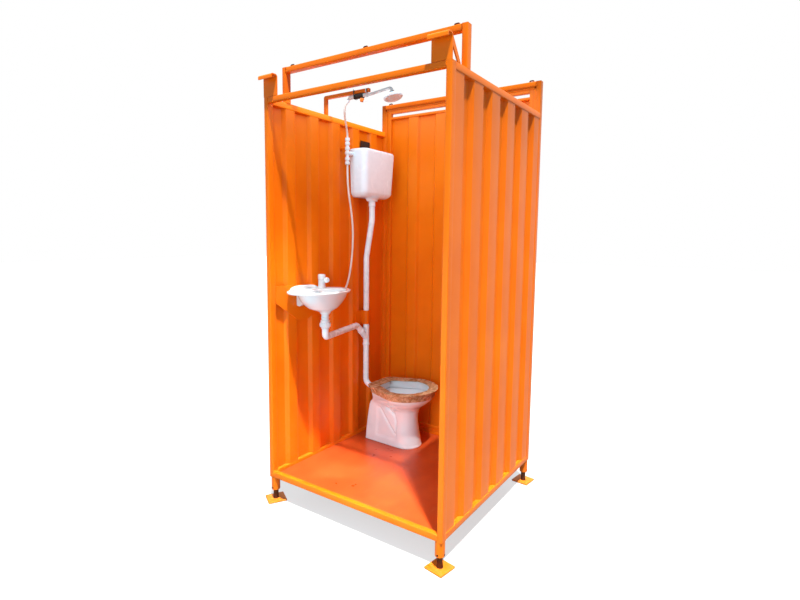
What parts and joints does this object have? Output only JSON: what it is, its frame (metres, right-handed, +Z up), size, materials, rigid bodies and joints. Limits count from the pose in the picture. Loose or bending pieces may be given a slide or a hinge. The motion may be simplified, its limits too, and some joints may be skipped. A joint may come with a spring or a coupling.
{
  "type": "sanitary container",
  "caption": "Open-fronted orange steel cabin on levelling legs with a toilet, a high cistern, a wall basin, a shower and a rear door.",
  "frame": {"origin": "middle of the covered ground area, at the undersides of the feet", "axes": "+X to the right seen from the open front, +Y from the open front to the rear door, +Z up"},
  "size_m": [1.2854, 1.2366, 2.571],
  "materials": {
    "orange_enamel": "glossy enamel",
    "floor_enamel": "satin enamel",
    "leg_steel": "brushed-on enamel",
    "zinc_steel": "zinc plated",
    "white_glaze": "glossy glaze",
    "white_plastic": "moulded",
    "dark_plastic": "moulded",
    "orange_plastic": "moulded",
    "white_hose": "smooth",
    "kraft_paper": "creased"
  },
  "bodies": {
    "cabin": {"corner_posts": "orange_enamel", "side_bottom_rails": "orange_enamel", "cross_sills": "orange_enamel", "side_top_rails": "orange_enamel", "front_header": "orange_enamel", "rear_top_beam": "orange_enamel", "roof_hoop": "orange_enamel", "lashing_rings": "orange_enamel", "floor_plate": "floor_enamel", "floor_bearers": "orange_enamel", "left_wall_sheet": "orange_enamel", "right_wall_sheet": "orange_enamel", "coupling_hooks": "orange_enamel", "hook_braces": "orange_enamel", "leg_sockets": "orange_enamel", "leg_screws": "zinc_steel", "hinge_frame_knuckles": "orange_enamel", "bolt_keeper": "orange_enamel", "basin": "white_glaze", "basin_plate": "orange_enamel", "tap_body": "white_plastic", "basin_waste": "white_plastic", "trap_pipe": "white_plastic", "flush_y_branch": "white_plastic", "flush_pipe": "white_plastic", "flush_bend": "white_plastic", "flush_coupling": "white_plastic", "pipe_strap": "orange_enamel", "cistern_tank": "white_plastic", "cistern_bracket": "dark_plastic", "fill_valve": "white_plastic", "supply_tee": "white_plastic", "basin_hose": "white_hose", "shower_hose": "white_hose", "shower_bar": "orange_enamel", "shower_valve": "white_plastic", "valve_sleeve": "dark_plastic", "shower_arm": "white_plastic", "toilet_bowl": "white_glaze", "rim_wrap": "kraft_paper", "soil_outlet": "white_plastic", "fixing_rivets": "orange_enamel"},
    "door": {"door_stiles": "orange_enamel", "door_rails": "orange_enamel", "door_panel": "orange_enamel", "hinge_door_knuckles": "orange_enamel", "bolt_guides": "orange_enamel", "door_pull": "orange_enamel"},
    "bolt": {"door_bolt": "zinc_steel"},
    "front_left_leg": {"front_left_leg": "leg_steel"},
    "front_right_leg": {"front_right_leg": "leg_steel"},
    "rear_left_leg": {"rear_left_leg": "leg_steel"},
    "rear_right_leg": {"rear_right_leg": "leg_steel"},
    "tap_knob": {"tap_knob": "white_plastic"},
    "shower_lever": {"shower_lever": "orange_plastic"},
    "shower_head": {"shower_head": "white_plastic"},
    "cistern_lid": {"cistern_lid": "white_plastic"},
    "flush_lever": {"flush_lever": "white_plastic"},
    "flush_bell": {"flush_bell": "white_plastic"},
    "float_arm": {"float_arm": "white_plastic"}
  },
  "joints": [
    {"name": "door_swing", "type": "hinge", "parent": "cabin", "child": "door", "pos_m": [-0.56111, 0.58332, 1.145], "axis": [0, 0, 1], "range_deg": [0, 115]},
    {"name": "bolt_slide", "type": "slide", "parent": "door", "child": "bolt", "axis": [1, 0, 0], "range_m": [0, 0.024]},
    {"name": "tap_turn", "type": "hinge", "parent": "cabin", "child": "tap_knob", "pos_m": [-0.51961, -0.19268, 1.325], "axis": [0, 0, 1], "range_deg": [0, 180]},
    {"name": "shower_valve_turn", "type": "hinge", "parent": "cabin", "child": "shower_lever", "pos_m": [-0.28711, -0.08068, 2.4097], "axis": [0, 0, 1], "range_deg": [0, 90]},
    {"name": "shower_head_tilt", "type": "hinge", "parent": "cabin", "child": "shower_head", "pos_m": [-0.06511, -0.08068, 2.4327], "axis": [0, 1, 0], "range_deg": [-15, 15]},
    {"name": "lid_lift", "type": "slide", "parent": "cabin", "child": "cistern_lid", "axis": [0, 0, 1], "range_m": [0, 0.06]},
    {"name": "flush_lever_pull", "type": "hinge", "parent": "cabin", "child": "flush_lever", "pos_m": [-0.49011, 0.43232, 2.096], "axis": [1, 0, 0], "range_deg": [-15, 0], "stiffness_Nm_per_rad": 0.3},
    {"name": "bell_lift", "type": "slide", "parent": "cabin", "child": "flush_bell", "axis": [0, 0, 1], "range_m": [0, 0.04]},
    {"name": "float_swing", "type": "hinge", "parent": "cabin", "child": "float_arm", "pos_m": [-0.53311, 0.17832, 2.143], "axis": [1, 0, 0], "range_deg": [0, 22]},
    {"name": "front_left_leg_slide", "type": "slide", "parent": "cabin", "child": "front_left_leg", "axis": [0, 0, 1], "range_m": [-0.035, 0.02]},
    {"name": "front_right_leg_slide", "type": "slide", "parent": "cabin", "child": "front_right_leg", "axis": [0, 0, 1], "range_m": [-0.035, 0.02]},
    {"name": "rear_left_leg_slide", "type": "slide", "parent": "cabin", "child": "rear_left_leg", "axis": [0, 0, 1], "range_m": [-0.035, 0.02]},
    {"name": "rear_right_leg_slide", "type": "slide", "parent": "cabin", "child": "rear_right_leg", "axis": [0, 0, 1], "range_m": [-0.035, 0.02]}
  ],
  "couplings": [
    {"joint": "bell_lift", "follows": "flush_lever_pull", "m_per_rad": -0.145}
  ]
}
